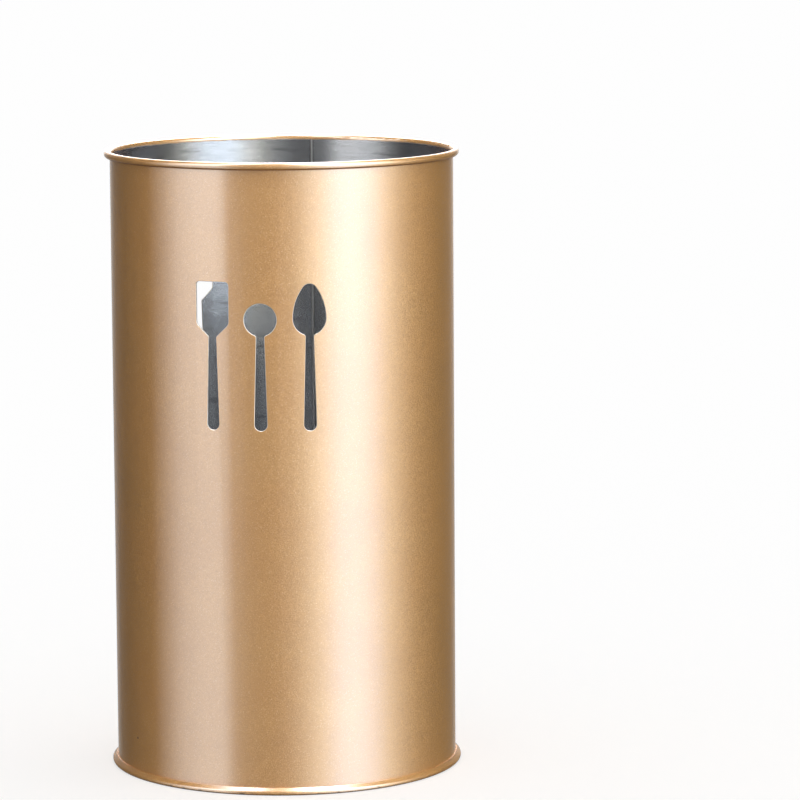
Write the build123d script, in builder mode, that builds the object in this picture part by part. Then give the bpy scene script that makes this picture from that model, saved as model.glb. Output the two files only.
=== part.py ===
from build123d import *
from math import acos, atan2, cos, degrees, radians, sin, sqrt
import os

# Cutlery drainer: a rolled sheet-metal canister with a rolled rim, a base folded over its flared
# foot and utensil-shaped cut-outs. Millimetres, +Z up. The origin is the middle of the ring that the
# canister stands on, and -Y is the side that carries the first motif.

# Canister
HEIGHT = 175.0
WALL_DIAMETER = 96.8
SHEET = 0.45
RIM_BEAD = 2.05
RIM_END_GAP = 0.08

# Weld that closes the rolled sheet, at an angle from the first motif
WELD_WIDTH = 0.5
WELD_RISE = 0.03
WELD_ANGLE = 176.9

# Flared foot of the wall, the fold of the base around it, and the base
FLARE_ANGLE = 45.0
FLARE_BEND = 0.8
FLARE_LENGTH = 1.1
FOLD_GAP = 0.06
FOLD_INNER_BEND = 0.5
PANEL_LIFT = 4.4
PANEL_BEND = 1.2
PANEL_LAND = 8.2
DISH_DEPTH = 1.0
DISH_SLOPE = 1.4
DISH_BEND = 0.8
DRAIN_HOLE = 5.0
DRAIN_RING_PITCH = 13.0
DRAIN_RINGS = 2
DRAIN_FIRST_RING = 6

# Motif of three utensils, side by side around the wall, their handles' feet at one height
MOTIF_ANGLES = (-125.5, 0.0, 125.5)
UTENSIL_PITCH = 13.6
FOOT_HEIGHT = 101.5
FOOT_WIDTH = 3.5
NECK_WIDTH = 2.2
NECK_BEND = 0.7
CUT_EDGE_BEND = 0.14

# Spatula, from the foot up to the neck and from the neck up to the top
SPATULA_HANDLE = 25.7
SPATULA_HEAD = 15.1
SPATULA_WIDTH = 9.5
SPATULA_SHOULDER = 3.4
SPATULA_TOP_BEND = 1.0
SPATULA_SHOULDER_BEND = 2.0

# Round spoon
ROUND_HANDLE = 26.2
ROUND_WIDTH = 9.0

# Egg-shaped spoon
EGG_HANDLE = 26.4
EGG_HEAD = 14.0
EGG_WIDTH = 9.2
EGG_TIP_BEND = 2.2

# Sheet and folds: the layers of the seam lie one fold pitch apart
fold_pitch = SHEET + FOLD_GAP
wall_radius = (WALL_DIAMETER - SHEET) / 2
chuck_radius = wall_radius - fold_pitch

# Foot: the wall bends outward, runs down its flare and ends one fold pitch above the base's flange
flare_sine = sin(radians(FLARE_ANGLE))
flare_cosine = cos(radians(FLARE_ANGLE))
flare_top_radius = wall_radius + FLARE_BEND * (1 - flare_cosine)
flare_end = (flare_top_radius + FLARE_LENGTH * flare_sine, SHEET / 2 + fold_pitch)
flare_top = (flare_top_radius, flare_end[1] + FLARE_LENGTH * flare_cosine)
flare_bend_height = flare_top[1] + FLARE_BEND * flare_sine
fold_start = (flare_end[0] + fold_pitch * flare_cosine, flare_end[1] + fold_pitch * flare_sine)
fold_end = (flare_top[0] + fold_pitch * flare_cosine, flare_top[1] + fold_pitch * flare_sine)

# Rim bead: the rolled edge stops just short of the wall
bead_bend = (RIM_BEAD - SHEET) / 2
bead_centre = (wall_radius + bead_bend, HEIGHT - RIM_BEAD / 2)
bead_end_reach = bead_bend - SHEET / 2 - RIM_END_GAP
bead_turn = 360 - degrees(acos(bead_end_reach / (RIM_BEAD / 2)))

# Weld: the angle it takes up on the wall, and the step from one utensil to the next
weld_turn = degrees(WELD_WIDTH / wall_radius)
utensil_turn = degrees(UTENSIL_PITCH / (WALL_DIAMETER / 2))


def wall_section(plane, thickness):
    """Section of the wall sheet in a plane through the axis, X outward and Y up."""
    with BuildSketch(plane) as section_sketch:
        with BuildLine():
            Line(flare_end, flare_top)
            CenterArc(
                (wall_radius + FLARE_BEND, flare_bend_height), FLARE_BEND, 180 + FLARE_ANGLE, -FLARE_ANGLE
            )
            Line((wall_radius, flare_bend_height), (wall_radius, bead_centre[1]))
            CenterArc(bead_centre, bead_bend, 180, -bead_turn)
        trace(line_width=thickness)
    return section_sketch.sketch


def seam_plane(angle):
    """Plane through the axis, X pointing outward at an angle from the first motif."""
    return Plane.XZ.rotated((0, 0, angle - 90))


def add_handle(length):
    """Tapered handle with a round foot, in the open sketch, running a little way into the head."""
    foot_radius = FOOT_WIDTH / 2
    foot_centre = FOOT_HEIGHT + foot_radius
    neck_height = FOOT_HEIGHT + length
    taper = (FOOT_WIDTH - NECK_WIDTH) / 2 / (neck_height - foot_centre)
    top_half = NECK_WIDTH / 2 - taper * NECK_WIDTH
    with Locations((0, foot_centre)):
        Circle(foot_radius)
    Polygon(
        (-foot_radius, foot_centre),
        (foot_radius, foot_centre),
        (top_half, neck_height + NECK_WIDTH),
        (-top_half, neck_height + NECK_WIDTH),
        align=None,
    )


def round_neck(utensil, length):
    """Round the two inward corners of the open sketch where the handle runs into the head."""
    neck_height = FOOT_HEIGHT + length
    near_axis = utensil.vertices().filter_by_position(Axis.X, -NECK_WIDTH, NECK_WIDTH)
    corners = near_axis.filter_by_position(Axis.Y, neck_height - NECK_WIDTH, neck_height + NECK_WIDTH)
    fillet(corners, NECK_BEND)


def bowl_centre(length, width):
    """Height of the centre of a round bowl that meets the neck of its handle."""
    return FOOT_HEIGHT + length + sqrt(width**2 - NECK_WIDTH**2) / 2


# Spatula: a flat head with sloping shoulders, which start inside the handle
spatula_neck = FOOT_HEIGHT + SPATULA_HANDLE
shoulder_slope = SPATULA_SHOULDER / ((SPATULA_WIDTH - NECK_WIDTH) / 2)
with BuildSketch() as spatula:
    Polygon(
        (0, spatula_neck - shoulder_slope * NECK_WIDTH / 2),
        (SPATULA_WIDTH / 2, spatula_neck + SPATULA_SHOULDER),
        (SPATULA_WIDTH / 2, spatula_neck + SPATULA_HEAD),
        (-SPATULA_WIDTH / 2, spatula_neck + SPATULA_HEAD),
        (-SPATULA_WIDTH / 2, spatula_neck + SPATULA_SHOULDER),
        align=None,
    )
    fillet(spatula.vertices().group_by(Axis.Y)[-1], SPATULA_TOP_BEND)
    fillet(spatula.vertices().group_by(Axis.Y)[1], SPATULA_SHOULDER_BEND)
    add_handle(SPATULA_HANDLE)
    round_neck(spatula, SPATULA_HANDLE)

# Round spoon: a circle on a handle
with BuildSketch() as round_spoon:
    add_handle(ROUND_HANDLE)
    with Locations((0, bowl_centre(ROUND_HANDLE, ROUND_WIDTH))):
        Circle(ROUND_WIDTH / 2)
    round_neck(round_spoon, ROUND_HANDLE)

# Egg-shaped spoon: a half circle below, two long side arcs and a small arc at the tip
egg_half = EGG_WIDTH / 2
egg_middle = bowl_centre(EGG_HANDLE, EGG_WIDTH)
egg_rise = FOOT_HEIGHT + EGG_HANDLE + EGG_HEAD - egg_middle
side_bend = (egg_half**2 + egg_rise**2 - 2 * egg_rise * EGG_TIP_BEND) / (EGG_WIDTH - 2 * EGG_TIP_BEND)
side_offset = side_bend - egg_half
side_turn = degrees(atan2(egg_rise - EGG_TIP_BEND, side_offset))
with BuildSketch() as egg_spoon:
    add_handle(EGG_HANDLE)
    with BuildLine():
        CenterArc((0, egg_middle), egg_half, 180, 180)
        CenterArc((-side_offset, egg_middle), side_bend, 0, side_turn)
        CenterArc((0, egg_middle + egg_rise - EGG_TIP_BEND), EGG_TIP_BEND, side_turn, 180 - 2 * side_turn)
        CenterArc((side_offset, egg_middle), side_bend, 180 - side_turn, side_turn)
    make_face()
    round_neck(egg_spoon, EGG_HANDLE)

# Body wall: the sheet rolled round from one edge of the weld to the other, then pierced
with BuildPart() as body_wall:
    add(wall_section(seam_plane(WELD_ANGLE + weld_turn / 2), SHEET))
    revolve(axis=Axis.Z, revolution_arc=360 - weld_turn)
    for motif_angle in MOTIF_ANGLES:
        for step, utensil in enumerate((spatula, round_spoon, egg_spoon), start=-1):
            with BuildSketch(Plane.XZ.rotated((0, 0, motif_angle + step * utensil_turn))):
                add(utensil.sketch)
            extrude(amount=WALL_DIAMETER, mode=Mode.SUBTRACT)
    outer_face = body_wall.faces().filter_by(GeomType.CYLINDER).sort_by(SortBy.AREA)[-1]
    fillet(outer_face.inner_wires().edges(), CUT_EDGE_BEND)

# Weld: a narrow strip of the same section that fills the gap, a little proud of the sheet
with BuildPart() as side_seam_weld:
    add(wall_section(seam_plane(WELD_ANGLE - weld_turn / 2), SHEET + 2 * WELD_RISE))
    revolve(axis=Axis.Z, revolution_arc=weld_turn)

# Base: a dished panel, a chuck wall, the flange it stands on and a fold over the wall's flare
panel_height = PANEL_LIFT + SHEET / 2
land_radius = chuck_radius - PANEL_LAND
dish_radius = land_radius - DISH_SLOPE
with BuildPart() as base_end:
    with BuildSketch(Plane.XZ):
        with BuildLine():
            FilletPolyline(
                (0, panel_height - DISH_DEPTH),
                (dish_radius, panel_height - DISH_DEPTH),
                (land_radius, panel_height),
                (chuck_radius, panel_height),
                (chuck_radius, SHEET / 2),
                (flare_end[0], SHEET / 2),
                radius=(DISH_BEND, DISH_BEND, PANEL_BEND, FOLD_INNER_BEND),
            )
            CenterArc(flare_end, fold_pitch, -90, 90 + FLARE_ANGLE)
            Line(fold_start, fold_end)
        trace(line_width=SHEET)
    revolve(axis=Axis.Z)
    with BuildSketch(Plane.XY.offset(PANEL_LIFT + SHEET)):
        Circle(DRAIN_HOLE / 2)
        for ring in range(1, DRAIN_RINGS + 1):
            with PolarLocations(ring * DRAIN_RING_PITCH, ring * DRAIN_FIRST_RING):
                Circle(DRAIN_HOLE / 2)
    extrude(amount=-(PANEL_LIFT + SHEET), mode=Mode.SUBTRACT)

body_wall.part.label = "body_wall"
side_seam_weld.part.label = "side_seam_weld"
base_end.part.label = "base_end"

os.makedirs("parts", exist_ok=True)
export_step(body_wall.part, "parts/body_wall.step")
export_step(side_seam_weld.part, "parts/side_seam_weld.step")
export_step(base_end.part, "parts/base_end.step")
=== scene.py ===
# %% [markdown]
# A cutlery drainer made of gold-painted sheet steel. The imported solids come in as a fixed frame, in
# metres, standing on the plane z = 0. The box around them is kept, because a finish never changes a size.

# %% Load the solids
from math import cos, pi, radians, sin

import bmesh
import bpy
from mathutils import Matrix, Vector


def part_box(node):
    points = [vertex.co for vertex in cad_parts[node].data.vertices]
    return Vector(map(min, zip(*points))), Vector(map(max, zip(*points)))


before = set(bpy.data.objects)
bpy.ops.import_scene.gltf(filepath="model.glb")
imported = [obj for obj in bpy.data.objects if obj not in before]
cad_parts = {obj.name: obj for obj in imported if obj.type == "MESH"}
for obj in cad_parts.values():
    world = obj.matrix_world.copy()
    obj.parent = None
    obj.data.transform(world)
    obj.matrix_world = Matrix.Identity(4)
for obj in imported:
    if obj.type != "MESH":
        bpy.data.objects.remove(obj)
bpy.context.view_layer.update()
scene = bpy.context.scene
scene.view_settings.view_transform = "Standard"
MILLIMETRE = 0.001
wall_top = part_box("body_wall")[1]
print("nodes", sorted(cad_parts), "height", round(wall_top.z, 4))

# %% [markdown]
# The photograph was taken with a long lens from a little above the rim. The camera stands in front of
# the cut-outs, a few degrees to their right, and looks down on the canister. A long lens a good metre
# away keeps the two sides of the wall almost parallel, as they are in the picture.

# %% Camera
CAMERA_DISTANCE = 1.1984
CAMERA_HEIGHT = 0.2722
CAMERA_AZIMUTH = radians(7.5)
CAMERA_TURN = radians(1.578)
CAMERA_PITCH = radians(8.033)
CAMERA_ROLL = radians(-0.332)
LENS = 191.6
SENSOR_WIDTH = 36.0
FARTHEST_SEEN = 40.0


def around(distance, angle, height):
    """A point at an angle round the axis, counted from the first cut-outs towards +X."""
    return Vector((distance * sin(angle), -distance * cos(angle), height))


camera_data = bpy.data.cameras.new("photo_camera")
camera_data.sensor_width = SENSOR_WIDTH
camera_data.lens = LENS
camera_data.clip_end = FARTHEST_SEEN
camera = bpy.data.objects.new("photo_camera", camera_data)
scene.collection.objects.link(camera)
camera.matrix_world = (
    Matrix.Translation(around(CAMERA_DISTANCE, CAMERA_AZIMUTH, CAMERA_HEIGHT))
    @ Matrix.Rotation(CAMERA_AZIMUTH - CAMERA_TURN, 4, "Z")
    @ Matrix.Rotation(pi / 2 - CAMERA_PITCH, 4, "X")
    @ Matrix.Rotation(CAMERA_ROLL, 4, "Z")
)
scene.camera = camera
print("camera at", [round(v, 3) for v in camera.location])

# %% [markdown]
# Node trees are easier to read when each step is one line. These helpers add a node and feed its sockets
# with values or links. Everything below is built from them.

# %% Nodes and sockets
def add_node(tree, kind, **options):
    """Add one node to a tree and set its options."""
    node = tree.nodes.new(kind)
    for name, value in options.items():
        setattr(node, name, value)
    return node


def feed(tree, socket, source):
    """Give a socket a plain value, or a link from another node's output."""
    if isinstance(source, bpy.types.NodeSocket):
        tree.links.new(source, socket)
    else:
        socket.default_value = source


print("nodes are made by", add_node.__name__, "and fed by", feed.__name__)

# %% [markdown]
# A mask starts as a measure: a distance from the axis, a height or a direction. Math and Vector Math
# nodes work it out from the point that is shaded, so it needs no unwrapping and no picture.

# %% Sums and measures
def operate(tree, kind, operation, terms):
    """One node that works on its terms, fed in their order."""
    node = add_node(tree, kind, operation=operation)
    for socket, term in zip(node.inputs, terms):
        feed(tree, socket, term)
    return node.outputs


def arithmetic(tree, operation, *terms):
    """One Math node."""
    return operate(tree, "ShaderNodeMath", operation, terms)["Value"]


def vectors(tree, operation, *terms):
    """One Vector Math node that gives a vector."""
    return operate(tree, "ShaderNodeVectorMath", operation, terms)["Vector"]


def measure(tree, operation, *terms):
    """One Vector Math node that gives a length or a dot product."""
    return operate(tree, "ShaderNodeVectorMath", operation, terms)["Value"]


def axes(tree, vector):
    """The X, Y and Z of a vector."""
    node = add_node(tree, "ShaderNodeSeparateXYZ")
    tree.links.new(vector, node.inputs[0])
    return node.outputs


def flattened(tree, point):
    """A point moved straight down to the plane z = 0."""
    return vectors(tree, "MULTIPLY", point, (1.0, 1.0, 0.0))


print("measures are made by", arithmetic.__name__, "and", measure.__name__)

# %% [markdown]
# Most finishes come down to two things: a soft step that turns a measure into a mask, and a mix that lets
# the mask choose between two colours, two values or two directions. A smooth step has no hard ends, so the
# mask fades as paint and dirt do.

# %% Masks and mixes
def ramp(tree, value, start, end, low=0.0, high=1.0):
    """A smooth step of a value, from low at start to high at end."""
    node = add_node(tree, "ShaderNodeMapRange", interpolation_type="SMOOTHSTEP")
    for socket, term in zip(node.inputs, (value, start, end, low, high)):
        feed(tree, socket, term)
    return node.outputs["Result"]


def mix_colours(tree, factor, first, second):
    """Two colours, mixed by a mask."""
    node = add_node(tree, "ShaderNodeMix", data_type="RGBA")
    feed(tree, node.inputs["Factor"], factor)
    feed(tree, node.inputs[6], first)
    feed(tree, node.inputs[7], second)
    return node.outputs[2]


def mix_values(tree, factor, first, second):
    """Two values, mixed by a mask."""
    node = add_node(tree, "ShaderNodeMix", data_type="FLOAT")
    feed(tree, node.inputs["Factor"], factor)
    feed(tree, node.inputs[2], first)
    feed(tree, node.inputs[3], second)
    return node.outputs[0]


def mix_vectors(tree, factor, first, second):
    """Two vectors, mixed by a mask."""
    node = add_node(tree, "ShaderNodeMix", data_type="VECTOR")
    feed(tree, node.inputs["Factor"], factor)
    feed(tree, node.inputs[4], first)
    feed(tree, node.inputs[5], second)
    return node.outputs[1]


print("masks are made by", ramp.__name__, "and used by", mix_colours.__name__)

# %% [markdown]
# Noise breaks a mask up, so that nothing looks drawn with a ruler. A node group wraps a whole recipe of
# masks and noise, so that several materials can share it. Its sockets get plain names, like the knobs of
# a tool.

# %% Noise and node groups
VALUE = "NodeSocketFloat"
COLOUR = "NodeSocketColor"
VECTOR = "NodeSocketVector"
NOISE_RANGE = (0.3, 0.7)


def grain(tree, point, scale, detail=2.0):
    """Soft noise from 0 to 1. The scale counts spots per metre."""
    node = add_node(tree, "ShaderNodeTexNoise", noise_dimensions="3D")
    feed(tree, node.inputs["Vector"], point)
    feed(tree, node.inputs["Scale"], scale)
    feed(tree, node.inputs["Detail"], detail)
    return node.outputs["Fac"]


def new_group(name, inputs, outputs):
    """An empty shader node group with named sockets."""
    tree = bpy.data.node_groups.new(name, "ShaderNodeTree")
    for label, kind, value in inputs:
        socket = tree.interface.new_socket(label, in_out="INPUT", socket_type=kind)
        if value is not None:
            socket.default_value = value
    for label, kind in outputs:
        tree.interface.new_socket(label, in_out="OUTPUT", socket_type=kind)
    print("group", name, "gives", [label for label, kind in outputs])
    return tree, add_node(tree, "NodeGroupInput").outputs, add_node(tree, "NodeGroupOutput").inputs


print("noise is used between", NOISE_RANGE)

# %% [markdown]
# Spray paint covers what faces the spray gun: the whole outside, the rolled rim, and a narrow band that
# drifted over the rim to the inside. Everything else stays bare steel. One mask tells the two apart by
# the distance from the axis and by the height, so it works on the wall, the weld and the base alike.

# %% Mask of the sprayed surface
SHEET = 0.45 * MILLIMETRE
WALL_RADIUS = 48.4 * MILLIMETRE
SHEET_MIDDLE = WALL_RADIUS - SHEET / 2
SPRAY_FADE = 0.06 * MILLIMETRE
RIM_LINE = 173.75 * MILLIMETRE
RIM_FADE = 0.2 * MILLIMETRE
RIM_DRIFT = 0.06 * MILLIMETRE
DRIFTS_PER_METRE = 300.0

spray_mask, given, result = new_group(
    "sprayed_side",
    [("Point", VECTOR, None), ("Radius", VALUE, SHEET_MIDDLE), ("Also Sprayed", VALUE, 0.0)],
    [("Cover", VALUE)],
)
from_axis = measure(spray_mask, "LENGTH", flattened(spray_mask, given["Point"]))
past_radius = arithmetic(spray_mask, "SUBTRACT", from_axis, given["Radius"])
outside = ramp(spray_mask, past_radius, -SPRAY_FADE, SPRAY_FADE)
waver = grain(spray_mask, given["Point"], DRIFTS_PER_METRE)
drift = ramp(spray_mask, waver, *NOISE_RANGE, -RIM_DRIFT, RIM_DRIFT)
drifted = arithmetic(spray_mask, "ADD", axes(spray_mask, given["Point"])["Z"], drift)
over_rim = ramp(spray_mask, drifted, RIM_LINE - RIM_FADE, RIM_LINE + RIM_FADE)
reached = arithmetic(spray_mask, "MAXIMUM", outside, over_rim)
spray_mask.links.new(arithmetic(spray_mask, "MAXIMUM", reached, given["Also Sprayed"]), result["Cover"])
print("paint runs over the rim down to", round(RIM_LINE / MILLIMETRE, 2), "mm")

# %% [markdown]
# Metallic paint is a clear lacquer full of tiny flakes. Each flake is a little mirror with its own tilt,
# so the colour looks grainy close by and turns into a broad gleam from further away. Cells of a Voronoi
# texture stand for the flakes: each gets its own tilt and shade, and a few shine out.

# %% Gold flakes
FLAKES_PER_METRE = 5200.0
FLAKE_TILT = 0.42
MID_GREY = (0.5, 0.5, 0.5)


def leaning_normal(tree, lean):
    """The surface's own normal, pushed over by a vector."""
    surface = add_node(tree, "ShaderNodeNewGeometry")
    return vectors(tree, "NORMALIZE", vectors(tree, "ADD", surface.outputs["Normal"], lean))


gold_flakes, given, result = new_group(
    "gold_flakes",
    [("Point", VECTOR, None), ("Flakes per Metre", VALUE, FLAKES_PER_METRE), ("Tilt", VALUE, FLAKE_TILT)],
    [("Color", COLOUR), ("Roughness", VALUE), ("Normal", VECTOR)],
)
flakes = add_node(gold_flakes, "ShaderNodeTexVoronoi")
gold_flakes.links.new(given["Point"], flakes.inputs["Vector"])
gold_flakes.links.new(given["Flakes per Metre"], flakes.inputs["Scale"])
lean = vectors(gold_flakes, "SUBTRACT", flakes.outputs["Color"], MID_GREY)
tilt = add_node(gold_flakes, "ShaderNodeVectorMath", operation="SCALE")
gold_flakes.links.new(lean, tilt.inputs[0])
gold_flakes.links.new(given["Tilt"], tilt.inputs["Scale"])
gold_flakes.links.new(leaning_normal(gold_flakes, tilt.outputs["Vector"]), result["Normal"])
print("flakes are about", round(1.0 / FLAKES_PER_METRE / MILLIMETRE, 2), "mm wide")

# %% [markdown]
# The colour of the paint varies in three ways. Slow clouds come from uneven spraying, every flake has a
# shade of its own, and one flake in twenty catches the light. The clouds change the roughness a little too,
# because a thicker coat lies smoother.

# %% Colour of the gold paint
GOLD = (0.78, 0.435, 0.138, 1.0)
GOLD_DEEP = (0.64, 0.335, 0.096, 1.0)
GOLD_SPARK = (1.0, 0.78, 0.46, 1.0)
CLOUDS_PER_METRE = 55.0
CLOUD_DEPTH = 0.3
FLAKE_DEPTH = 0.55
SPARK_CHANCE = (0.93, 0.96)
SPARK_STRENGTH = 0.2
SMOOTH_PAINT = 0.62
DRY_PAINT = 0.67

chance = add_node(gold_flakes, "ShaderNodeSeparateColor")
gold_flakes.links.new(flakes.outputs["Color"], chance.inputs[0])
cloud = grain(gold_flakes, given["Point"], CLOUDS_PER_METRE, detail=3.0)
clouded = ramp(gold_flakes, cloud, *NOISE_RANGE, 0.0, CLOUD_DEPTH)
mottled = mix_colours(gold_flakes, clouded, GOLD, GOLD_DEEP)
shade = ramp(gold_flakes, chance.outputs["Green"], 0.0, 1.0, 0.0, FLAKE_DEPTH)
shaded = mix_colours(gold_flakes, shade, mottled, GOLD_DEEP)
spark = ramp(gold_flakes, chance.outputs["Red"], *SPARK_CHANCE, 0.0, SPARK_STRENGTH)
gold_flakes.links.new(mix_colours(gold_flakes, spark, shaded, GOLD_SPARK), result["Color"])
sprayed_dry = ramp(gold_flakes, cloud, *NOISE_RANGE, SMOOTH_PAINT, DRY_PAINT)
gold_flakes.links.new(sprayed_dry, result["Roughness"])
print("paint roughness runs from", SMOOTH_PAINT, "to", DRY_PAINT)

# %% [markdown]
# Inside, the sheet is bare. It was brushed flat before it was rolled, and the brush ran along the sheet,
# so its streaks now run round the canister. Noise that is squeezed in height gives such streaks, and a
# slower one adds the smears of handling. The weld was ground down, so it is paler and has no streaks.

# %% Brushed steel
STEEL = (0.50, 0.51, 0.525, 1.0)
STEEL_DULL = (0.43, 0.44, 0.455, 1.0)
SMEARED = (0.20, 0.205, 0.21, 1.0)
GROUND_WELD = (0.60, 0.60, 0.59, 1.0)
STREAK_SQUEEZE = (1.0, 1.0, 14.0)
STREAKS_PER_METRE = 140.0
SMEAR_SQUEEZE = (1.0, 1.0, 8.0)
SMEARS_PER_METRE = 48.0
SMEAR_RANGE = (0.58, 0.72)
SMEAR_STRENGTH = 0.6
FURROW_SLOPE = 0.39
DULL_ROUGHNESS = 0.23
BRIGHT_ROUGHNESS = 0.20
GROUND_ROUGHNESS = 0.32

brushed_steel, given, result = new_group(
    "brushed_steel",
    [("Point", VECTOR, None), ("Furrow Slope", VALUE, FURROW_SLOPE), ("Ground", VALUE, 0.0)],
    [("Color", COLOUR), ("Roughness", VALUE), ("Normal", VECTOR)],
)
streak_point = vectors(brushed_steel, "MULTIPLY", given["Point"], STREAK_SQUEEZE)
streaked = grain(brushed_steel, streak_point, STREAKS_PER_METRE, detail=3.0)
streaks = ramp(brushed_steel, streaked, *NOISE_RANGE)
smear_point = vectors(brushed_steel, "MULTIPLY", given["Point"], SMEAR_SQUEEZE)
handled = grain(brushed_steel, smear_point, SMEARS_PER_METRE, detail=4.0)
smears = ramp(brushed_steel, handled, *SMEAR_RANGE, 0.0, SMEAR_STRENGTH)
brushed = mix_colours(brushed_steel, streaks, STEEL_DULL, STEEL)
smeared = mix_colours(brushed_steel, smears, brushed, SMEARED)
brushed_steel.links.new(mix_colours(brushed_steel, given["Ground"], smeared, GROUND_WELD), result["Color"])
satin = ramp(brushed_steel, streaks, 0.0, 1.0, DULL_ROUGHNESS, BRIGHT_ROUGHNESS)
finish = mix_values(brushed_steel, given["Ground"], satin, GROUND_ROUGHNESS)
brushed_steel.links.new(finish, result["Roughness"])
print("streaks are about", round(1.0 / STREAKS_PER_METRE / STREAK_SQUEEZE[2] / MILLIMETRE, 2), "mm high")

# %% [markdown]
# A brush leaves furrows far finer than a pixel. They tilt the surface up and down and spread every light
# into a tall soft band. A bump map is too coarse for that, so the normal itself swings up and down a few
# dozen times in a millimetre of height, and a little noise keeps the furrows from being too even.

# %% Furrows of the brushed steel
FURROW = 0.03 * MILLIMETRE
WAVER_REACH = 12 * FURROW
WAVERS_PER_METRE = 60.0

waver = grain(brushed_steel, streak_point, WAVERS_PER_METRE)
wavering = arithmetic(brushed_steel, "MULTIPLY", waver, WAVER_REACH)
across = arithmetic(brushed_steel, "ADD", axes(brushed_steel, given["Point"])["Z"], wavering)
furrow = arithmetic(brushed_steel, "PINGPONG", across, FURROW / 2)
swing = ramp(brushed_steel, furrow, 0.0, FURROW / 2, -1.0, 1.0)
slope = arithmetic(brushed_steel, "MULTIPLY", swing, given["Furrow Slope"])
up_and_down = add_node(brushed_steel, "ShaderNodeCombineXYZ")
brushed_steel.links.new(slope, up_and_down.inputs["Z"])
brushed_steel.links.new(leaning_normal(brushed_steel, up_and_down.outputs["Vector"]), result["Normal"])
print("furrows are", round(FURROW / MILLIMETRE, 3), "mm wide")

# %% [markdown]
# The bottom edge is where the canister gets wet and knocked, so the paint is chipped there, and a few
# specks of dust were caught in the lacquer. A dark line of painted shade runs along the very bottom, where
# the canister meets the floor. Chips and specks are noise that is cut off hard, so that only the peaks are
# left.

# %% Chips, specks and a painted shade line at the bottom
CHIP_AND_SHADE_HEIGHT = 0.9 * MILLIMETRE
CHIPS_PER_METRE = 420.0
CHIP_RANGE = (0.62, 0.66)
SHADE_LINE_SHARE = 0.45
SHADE_LINE_STRENGTH = 0.85
SPECKS_PER_METRE = 130.0
SPECK_SIZE = (0.03, 0.06)
SPECK_CHANCE = (0.985, 0.99)

chips_specks_and_shade, given, result = new_group(
    "chips_specks_and_shade",
    [("Point", VECTOR, None), ("Chip Height", VALUE, CHIP_AND_SHADE_HEIGHT)],
    [("Chips and Shade", VALUE), ("Specks", VALUE)],
)
height = axes(chips_specks_and_shade, given["Point"])["Z"]
knocked = grain(chips_specks_and_shade, given["Point"], CHIPS_PER_METRE, detail=3.0)
loose = ramp(chips_specks_and_shade, knocked, *CHIP_RANGE)
near_edge = ramp(chips_specks_and_shade, height, 0.0, given["Chip Height"], 1.0, 0.0)
chips = arithmetic(chips_specks_and_shade, "MULTIPLY", loose, near_edge)
# Painted shade: a dark line along the very bottom, where the canister meets the floor.
shade_line_top = arithmetic(chips_specks_and_shade, "MULTIPLY", given["Chip Height"], SHADE_LINE_SHARE)
painted_bottom_shade = ramp(chips_specks_and_shade, height, 0.0, shade_line_top, SHADE_LINE_STRENGTH, 0.0)
chips_specks_and_shade.links.new(arithmetic(chips_specks_and_shade, "MAXIMUM", chips, painted_bottom_shade), result["Chips and Shade"])
dust = add_node(chips_specks_and_shade, "ShaderNodeTexVoronoi")
chips_specks_and_shade.links.new(given["Point"], dust.inputs["Vector"])
dust.inputs["Scale"].default_value = SPECKS_PER_METRE
near_middle = ramp(chips_specks_and_shade, dust.outputs["Distance"], *SPECK_SIZE, 1.0, 0.0)
some_cells = add_node(chips_specks_and_shade, "ShaderNodeSeparateColor")
chips_specks_and_shade.links.new(dust.outputs["Color"], some_cells.inputs[0])
chosen = ramp(chips_specks_and_shade, some_cells.outputs["Red"], *SPECK_CHANCE)
chips_specks_and_shade.links.new(arithmetic(chips_specks_and_shade, "MULTIPLY", near_middle, chosen), result["Specks"])
print("chips reach", round(CHIP_AND_SHADE_HEIGHT / MILLIMETRE, 2), "mm up unless a material says otherwise")

# %% [markdown]
# A punch leaves a thin pale line round every cut-out, because the paint is pulled thin over its edge; the
# pale colour there is partly that thin paint and partly a painted highlight of the cut edge. The corner
# under the rolled rim gets a dark line of painted shade, where the rim shades the wall. The first is read
# from the tilt of the surface, at the height of the cut-outs, so it follows their outline by itself. The
# second needs only a height.

# %% Cut edges with a painted highlight, and painted shade under the rim
CUTS_MIDDLE = 122.0 * MILLIMETRE
CUTS_REACH = 24.0 * MILLIMETRE
CUTS_FADE = 1.0 * MILLIMETRE
TURNED_AWAY = (0.88, 0.96)
RIM_CORNER = 173.08 * MILLIMETRE
CORNER_REACH = 0.12 * MILLIMETRE
CORNER_FADE = 0.18 * MILLIMETRE

edges_and_marks, given, result = new_group(
    "edges_and_marks",
    [("Point", VECTOR, None)],
    [("Cut Edge", VALUE), ("Corner Shade", VALUE), ("Heat Mark", VALUE)],
)


def near_height(tree, point, height, reach, fade):
    """A mask that is 1 near one height and fades to 0 away from it."""
    away = arithmetic(tree, "SUBTRACT", axes(tree, point)["Z"], height)
    return ramp(tree, arithmetic(tree, "ABSOLUTE", away), reach, reach + fade, 1.0, 0.0)


surface = add_node(edges_and_marks, "ShaderNodeNewGeometry")
outward = vectors(edges_and_marks, "NORMALIZE", flattened(edges_and_marks, given["Point"]))
facing_out = measure(edges_and_marks, "DOT_PRODUCT", surface.outputs["Normal"], outward)
straight = arithmetic(edges_and_marks, "ABSOLUTE", facing_out)
turned_in = ramp(edges_and_marks, straight, *TURNED_AWAY, 1.0, 0.0)
at_cuts = near_height(edges_and_marks, given["Point"], CUTS_MIDDLE, CUTS_REACH, CUTS_FADE)
# The pale line round the cut-outs is partly thin paint and partly a painted highlight.
edges_and_marks.links.new(arithmetic(edges_and_marks, "MULTIPLY", turned_in, at_cuts), result["Cut Edge"])
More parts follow.
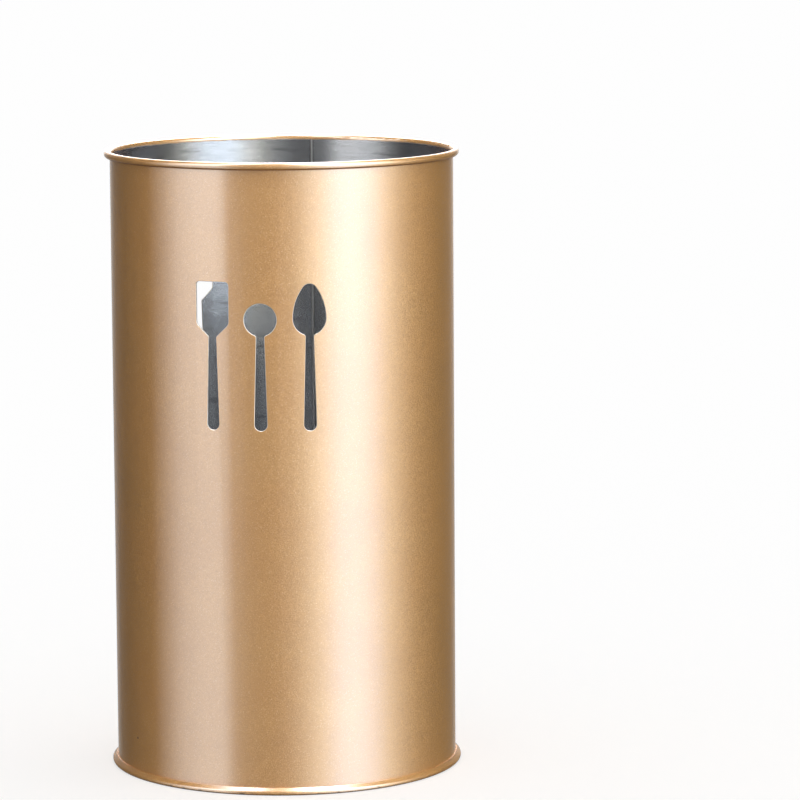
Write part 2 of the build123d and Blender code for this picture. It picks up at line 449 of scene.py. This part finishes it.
# Painted shade: a dark line on the wall just under the rolled rim, where the rim shades it.
shade_under_rim = near_height(edges_and_marks, given["Point"], RIM_CORNER, CORNER_REACH, CORNER_FADE)
edges_and_marks.links.new(shade_under_rim, result["Corner Shade"])
print("dark corner lies at", round(RIM_CORNER / MILLIMETRE, 2), "mm")

# %% [markdown]
# The heat of welding left a brown stripe on the steel at each side of the weld. The stripe is a mask of
# the distance from the plane through the axis and the weld. That plane also cuts the wall opposite the
# weld, so only its half on the weld's side is kept.

# %% Heat mark beside the weld
WELD_ANGLE = radians(176.9)
WELD_EDGE = 0.2 * MILLIMETRE
HEAT_START = 0.3 * MILLIMETRE
HEAT_FULL = 0.35 * MILLIMETRE
HEAT_END = 0.7 * MILLIMETRE
HEAT_STRENGTH = 0.5

to_weld = around(1.0, WELD_ANGLE, 0.0)
across_weld = Vector((0.0, 0.0, 1.0)).cross(to_weld)
aside = measure(edges_and_marks, "DOT_PRODUCT", given["Point"], across_weld)
distance = arithmetic(edges_and_marks, "ABSOLUTE", aside)
past_weld = ramp(edges_and_marks, distance, WELD_EDGE, HEAT_START)
faded = ramp(edges_and_marks, distance, HEAT_FULL, HEAT_END, HEAT_STRENGTH, 0.0)
weld_side = measure(edges_and_marks, "DOT_PRODUCT", given["Point"], to_weld)
same_side = arithmetic(edges_and_marks, "GREATER_THAN", weld_side, 0.0)
stripe = arithmetic(edges_and_marks, "MULTIPLY", past_weld, faded)
edges_and_marks.links.new(arithmetic(edges_and_marks, "MULTIPLY", stripe, same_side), result["Heat Mark"])
print("heat mark ends", round(HEAT_END / MILLIMETRE, 2), "mm from the weld's middle")

# %% [markdown]
# The colours of the sheet lie over each other like layers. At the bottom is the steel with its heat mark.
# The paint covers it, with the painted shade in the corner under the rim, its chips and the painted shade
# line at the bottom. The pale line of the cut edges, thin paint and a painted highlight in one, comes last,
# because it lies over both. Each layer is one mix, and its mask says where it shows.

# %% Layers of colour
HEAT_TINT = (0.20, 0.175, 0.16, 1.0)
CORNER_SHADE_GOLD = (0.26, 0.11, 0.035, 1.0)
CORNER_SHADE_STRENGTH = 0.8
CHIP_AND_SHADE_COLOUR = (0.10, 0.07, 0.055, 1.0)
PALE_EDGE_AND_HIGHLIGHT = (0.93, 0.82, 0.66, 1.0)


def layered_colour(tree, cover, paint, steel, bare_or_shaded, marks):
    """Steel, paint and cut edges, with painted shade and a painted highlight, laid over each other by their
    masks.
    """
    heated = mix_colours(tree, marks["Heat Mark"], steel["Color"], HEAT_TINT)
    # The corner mask paints shade into the gold under the rim.
    corner_shade = arithmetic(tree, "MULTIPLY", marks["Corner Shade"], CORNER_SHADE_STRENGTH)
    shadowed = mix_colours(tree, corner_shade, paint["Color"], CORNER_SHADE_GOLD)
    # Chips and specks show dark, and the same dark colour paints a line of shade along the very bottom.
    worn_and_shaded_paint = mix_colours(tree, bare_or_shaded, shadowed, CHIP_AND_SHADE_COLOUR)
    sheet = mix_colours(tree, cover, heated, worn_and_shaded_paint)
    # The pale cut edge is partly thin paint and partly a painted highlight.
    return mix_colours(tree, marks["Cut Edge"], sheet, PALE_EDGE_AND_HIGHLIGHT)


print("dark corner hides", CORNER_SHADE_STRENGTH, "of the gold")

# %% [markdown]
# A node group shows nothing until it is placed in a material. This helper places one, gives it the point
# that is shaded, and sets the values that differ in this material.

# %% Groups in a material
def place_group(tree, group, point, **values):
    """Put a node group into a material and give it the point that is shaded."""
    node = add_node(tree, "ShaderNodeGroup", node_tree=group)
    tree.links.new(point, node.inputs["Point"])
    for name, value in values.items():
        feed(tree, node.inputs[name.replace("_", " ")], value)
    return node.outputs


print("groups to place", [group.name for group in bpy.data.node_groups])

# %% [markdown]
# Each sub-part has one material with one shader. The masks choose between paint and steel in its colour,
# roughness, coat and normal. The lacquer is the shader's coat: it mirrors the soft boxes in their own
# white while the flakes under it glow gold, which is why the highlights of metallic paint look pale. A
# real lacquer has an index of about 1.5. It is set far higher here, because only a stronger mirror gives
# the pale bands of the photograph. The specular tint is the metal's colour at grazing angles.

# %% Painted sheet
COAT_INDEX = 3.65
COAT_ROUGHNESS = 0.17
LACQUER_LOSS = 0.8
EDGE_TINT = (0.88, 0.79, 0.83, 1.0)
CUT_ROUGHNESS = 0.35
UNDERSIDE = (-0.1, 0.1)


def painted_sheet(name, radius, chip_and_shade_height, sprayed_below, ground):
    """Gold flake paint outside and brushed steel inside, in one material."""
    material = bpy.data.materials.new(name)
    material.use_nodes = True
    tree = material.node_tree
    shader = tree.nodes["Principled BSDF"]
    point = add_node(tree, "ShaderNodeTexCoord").outputs["Object"]
    facing = axes(tree, add_node(tree, "ShaderNodeNewGeometry").outputs["Normal"])
    also = ramp(tree, facing["Z"], *UNDERSIDE, 1.0, 0.0) if sprayed_below else 0.0
    cover = place_group(tree, spray_mask, point, Radius=radius, Also_Sprayed=also)["Cover"]
    paint = place_group(tree, gold_flakes, point)
    steel = place_group(tree, brushed_steel, point, Ground=ground)
    wear_and_shade = place_group(tree, chips_specks_and_shade, point, Chip_Height=chip_and_shade_height)
    marks = place_group(tree, edges_and_marks, point)
    bare_or_shaded = arithmetic(tree, "MAXIMUM", wear_and_shade["Chips and Shade"], wear_and_shade["Specks"])
    colour = layered_colour(tree, cover, paint, steel, bare_or_shaded, marks)
    dulled = mix_values(tree, cover, steel["Roughness"], paint["Roughness"])
    roughness = mix_values(tree, marks["Cut Edge"], dulled, CUT_ROUGHNESS)
    # The lacquer is taken off at the chips and specks, and also at the painted shade under the rim and
    # along the bottom, so these places mirror less light.
    chipped_or_shaded = arithmetic(tree, "MAXIMUM", bare_or_shaded, marks["Corner Shade"])
    lost = arithmetic(tree, "MULTIPLY", chipped_or_shaded, LACQUER_LOSS)
    lacquer = arithmetic(tree, "SUBTRACT", cover, lost)
    lean = mix_vectors(tree, cover, steel["Normal"], paint["Normal"])
    tree.links.new(colour, shader.inputs["Base Color"])
    tree.links.new(roughness, shader.inputs["Roughness"])
    tree.links.new(lacquer, shader.inputs["Coat Weight"])
    tree.links.new(vectors(tree, "NORMALIZE", lean), shader.inputs["Normal"])
    shader.inputs["Metallic"].default_value = 1.0
    shader.inputs["Specular Tint"].default_value = EDGE_TINT
    shader.inputs["Coat IOR"].default_value = COAT_INDEX
    shader.inputs["Coat Roughness"].default_value = COAT_ROUGHNESS
    return material


print("lacquer mirrors", round(((COAT_INDEX - 1) / (COAT_INDEX + 1)) ** 2, 3), "of the light from in front")

# %% [markdown]
# The three solids get their own version of that material. Only the base stands on its edge, so only the
# base has chips and a painted shade line along its bottom. Its underside was sprayed too. The weld is
# ground steel inside and lies under the paint outside.

# %% Finish of the solids
NO_CHIPS_OR_SHADE = 0.001 * MILLIMETRE
CHIPPED_AND_SHADED_EDGE = 1.2 * MILLIMETRE

finishes = {
    "body_wall": painted_sheet("gold_paint", SHEET_MIDDLE, NO_CHIPS_OR_SHADE, sprayed_below=False, ground=0.0),
    "base_end": painted_sheet("base_gold_paint", WALL_RADIUS, CHIPPED_AND_SHADED_EDGE, sprayed_below=True, ground=0.0),
    "side_seam_weld": painted_sheet("weld_steel", SHEET_MIDDLE, NO_CHIPS_OR_SHADE, sprayed_below=False, ground=1.0),
}
for node_name, material in finishes.items():
    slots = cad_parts[node_name].data.materials
    slots.clear()
    slots.append(material)
    print(node_name, "is finished in", material.name)

# %% [markdown]
# The photograph has a white studio around the canister. White, even air gives that: the floor is white all
# the way to the horizon, and the canister leaves only a soft shadow on it.

# %% Studio air
world = bpy.data.worlds.new("studio_air")
world.use_nodes = True
scene.world = world
air = world.node_tree.nodes["Background"]
air.inputs["Color"].default_value = (1.0, 1.0, 1.0, 1.0)
air.inputs["Strength"].default_value = 1.0
print("studio air has strength", air.inputs["Strength"].default_value)

# %% [markdown]
# The floor is matt white paper. Where it is looked at, it is half plain white, so that the shadow stays
# light. A Light Path node tells the rays that look at it from the rays that only gather light.

# %% Floor paint
FLOOR_WHITE = (0.98, 0.98, 0.98, 1.0)
FLOOR_GLOW = 0.5

floor_paint = bpy.data.materials.new("floor_paint")
floor_paint.use_nodes = True
floor_tree = floor_paint.node_tree
floor_shader = floor_tree.nodes["Principled BSDF"]
floor_shader.inputs["Base Color"].default_value = FLOOR_WHITE
floor_shader.inputs["Roughness"].default_value = 1.0
floor_shader.inputs["Specular IOR Level"].default_value = 0.0
rays = add_node(floor_tree, "ShaderNodeLightPath").outputs
mirrored = arithmetic(floor_tree, "MAXIMUM", rays["Is Glossy Ray"], rays["Is Transmission Ray"])
watched = arithmetic(floor_tree, "MAXIMUM", rays["Is Camera Ray"], mirrored)
plain_white = add_node(floor_tree, "ShaderNodeEmission")
half_white = add_node(floor_tree, "ShaderNodeMixShader")
floor_tree.links.new(arithmetic(floor_tree, "MULTIPLY", watched, FLOOR_GLOW), half_white.inputs["Fac"])
floor_tree.links.new(floor_shader.outputs["BSDF"], half_white.inputs[1])
floor_tree.links.new(plain_white.outputs["Emission"], half_white.inputs[2])
floor_tree.links.new(half_white.outputs["Shader"], floor_tree.nodes["Material Output"].inputs["Surface"])
print("floor is", FLOOR_GLOW, "plain white where it is looked at")

# %% [markdown]
# The paper lies flat under the canister and reaches far past the picture. It is left out of the canister's
# reflections, so that the lights can run on below it, and it throws no shadow itself.

# %% Floor
FLOOR_REACH = 12

floor_mesh = bpy.data.meshes.new("floor")
floor_corners = [(FLOOR_REACH * x, FLOOR_REACH * y, 0) for x, y in ((-1, -1), (1, -1), (1, 1), (-1, 1))]
floor_mesh.from_pydata(floor_corners, [], [(0, 1, 2, 3)])
floor_mesh.materials.append(floor_paint)
floor = bpy.data.objects.new("floor", floor_mesh)
scene.collection.objects.link(floor)
floor.visible_glossy = False
floor.visible_shadow = False
print("floor is", 2 * FLOOR_REACH, "m wide")

# %% [markdown]
# Shiny cans are lit by what they mirror. A round light tent stands around the canister. It glows like a
# tall soft box on the right, like a weaker one on the left and like a narrow one at the back, and is dark
# between them, so that both edges of the canister go dark. A table says how bright the cloth is at each
# angle, counted from the front towards the right. The box on the right is a little cool in its core and a
# little warm at its sides, so that its highlight turns white in the middle of the gold.

# %% Brightness round the tent
BRIGHTEST = 3.0
CORE = (30, 64)
CORE_TINT = (0.92, 1.0, 1.09)
FRINGE = (6, 98)
FRINGE_TINT = (1.02, 1.0, 0.90)
PLAIN = (1.0, 1.0, 1.0)
tent_light = {
    -180: 0.80, -166: 0.50, -150: 0.14, -132: 0.05, -98: 0.05,
    -84: 0.42, -72: 0.80, -60: 0.99, -42: 1.05, -34: 0.36, -28: 0.24,
    -18: 0.17, -10: 0.17, 0: 0.25, 12: 0.64, 24: 1.16,
    36: 1.65, 46: 1.78, 52: 1.67, 60: 1.40, 72: 0.90, 84: 0.46, 96: 0.20,
    108: 0.10, 120: 0.06, 134: 0.06, 150: 0.14, 166: 0.50, 180: 0.80,
}


def tint_at(angle):
    """The soft box on the right is cool in its core and a little warm at its sides."""
    if CORE[0] < angle < CORE[1]:
        return CORE_TINT
    return FRINGE_TINT if FRINGE[0] < angle < FRINGE[1] else PLAIN


print("brightest cloth is at", max(tent_light, key=tent_light.get), "degrees")

# %% [markdown]
# The arc tangent of a place on the cloth gives its angle round the tent. The angle becomes a run from 0
# to 1, and a colour ramp with one stop for each angle of the table turns it into light. Between its stops
# the ramp blends, so that the soft boxes fade out gently.

# %% Light round the tent
tent_cloth = bpy.data.materials.new("light_tent")
tent_cloth.use_nodes = True
tent_tree = tent_cloth.node_tree
tent_tree.nodes.clear()
centred = add_node(tent_tree, "ShaderNodeTexCoord").outputs["Object"]
place = axes(tent_tree, centred)
towards_front = arithmetic(tent_tree, "MULTIPLY", place["Y"], -1.0)
bearing = arithmetic(tent_tree, "ARCTAN2", place["X"], towards_front)
round_once = arithmetic(tent_tree, "MULTIPLY_ADD", bearing, 0.5 / pi, 0.5)
screen = add_node(tent_tree, "ShaderNodeValToRGB")
tent_tree.links.new(round_once, screen.inputs["Fac"])
stops = screen.color_ramp.elements
stops.remove(stops[1])
stops[0].position = 0.0
for angle in list(tent_light)[1:]:
    stops.new((angle + 180) / 360)
for stop, (angle, brightness) in zip(stops, tent_light.items()):
    shade = brightness / BRIGHTEST
    red, green, blue = tint_at(angle)
    stop.color = (shade * red, shade * green, shade * blue, 1.0)
print("tent has", len(stops), "stops of light")

# %% [markdown]
# The cloth also changes with height. The lit parts grow brighter upward, most of all at the back, where a
# light that hangs high warms the rear of the paint and stays out of the edges seen from the front. The roof
# is bright, so that light falls down into the steel, and the cloth fades out far below the floor.

# %% Light up and down the tent
TENT_RADIUS = 1.0
TENT_HEIGHT = 1.7
LIT = (0.09, 0.35)
UNLIT_SHARE = 0.1
RISE = (-0.1, 0.7)
UPPER_GAIN = 1.7
REAR = (0.65, 0.95)
REAR_GAIN = 10.0
FOOT = (-1.65, -1.0)
ROOF = (0.4 * TENT_RADIUS, TENT_RADIUS)
ROOF_GAIN = 2.4

lit_cloth = ramp(tent_tree, screen.outputs["Color"], *LIT, UNLIT_SHARE, 1.0)
higher = ramp(tent_tree, place["Z"], *RISE, 0.0, UPPER_GAIN)
behind = ramp(tent_tree, place["Y"], *REAR, 1.0, REAR_GAIN)
lifted = arithmetic(tent_tree, "MULTIPLY", lit_cloth, behind)
upper = arithmetic(tent_tree, "MULTIPLY_ADD", higher, lifted, 1.0)
lower = ramp(tent_tree, place["Z"], *FOOT)
from_axis = measure(tent_tree, "LENGTH", flattened(tent_tree, centred))
roof = ramp(tent_tree, from_axis, *ROOF, ROOF_GAIN, 1.0)
sides = arithmetic(tent_tree, "MULTIPLY", upper, lower)
whole = arithmetic(tent_tree, "MULTIPLY", sides, roof)
cloth = add_node(tent_tree, "ShaderNodeEmission")
tent_tree.links.new(screen.outputs["Color"], cloth.inputs["Color"])
tent_tree.links.new(arithmetic(tent_tree, "MULTIPLY", whole, BRIGHTEST), cloth.inputs["Strength"])
tent_output = add_node(tent_tree, "ShaderNodeOutputMaterial")
tent_tree.links.new(cloth.outputs["Emission"], tent_output.inputs["Surface"])
print("roof shines", ROOF_GAIN, "times as bright as the cloth below it")

# %% [markdown]
# The tent itself is a round wall with a lid at each end. Only reflections see it: it throws no shadow,
# lights no floor and stays out of the picture. It is turned to face the camera, so that the soft boxes
# stand where the photograph shows them.

# %% Light tent
TENT_SEGMENTS = 96

tent = bmesh.new()
bmesh.ops.create_cone(
    tent,
    segments=TENT_SEGMENTS,
    radius1=TENT_RADIUS,
    radius2=TENT_RADIUS,
    depth=2 * TENT_HEIGHT,
    cap_ends=False,
)
for lid_height in (-TENT_HEIGHT, TENT_HEIGHT):
    bmesh.ops.create_circle(
        tent,
        cap_ends=True,
        segments=TENT_SEGMENTS,
        radius=TENT_RADIUS,
        matrix=Matrix.Translation((0, 0, lid_height)),
    )
tent_mesh = bpy.data.meshes.new("light_tent")
tent.to_mesh(tent_mesh)
tent.free()
tent_mesh.materials.append(tent_cloth)
light_tent = bpy.data.objects.new("light_tent", tent_mesh)
scene.collection.objects.link(light_tent)
light_tent.rotation_euler.z = CAMERA_AZIMUTH
for sight in ("camera", "diffuse", "shadow", "transmission", "volume_scatter"):
    setattr(light_tent, f"visible_{sight}", False)
print("tent has", len(tent_mesh.polygons), "faces")
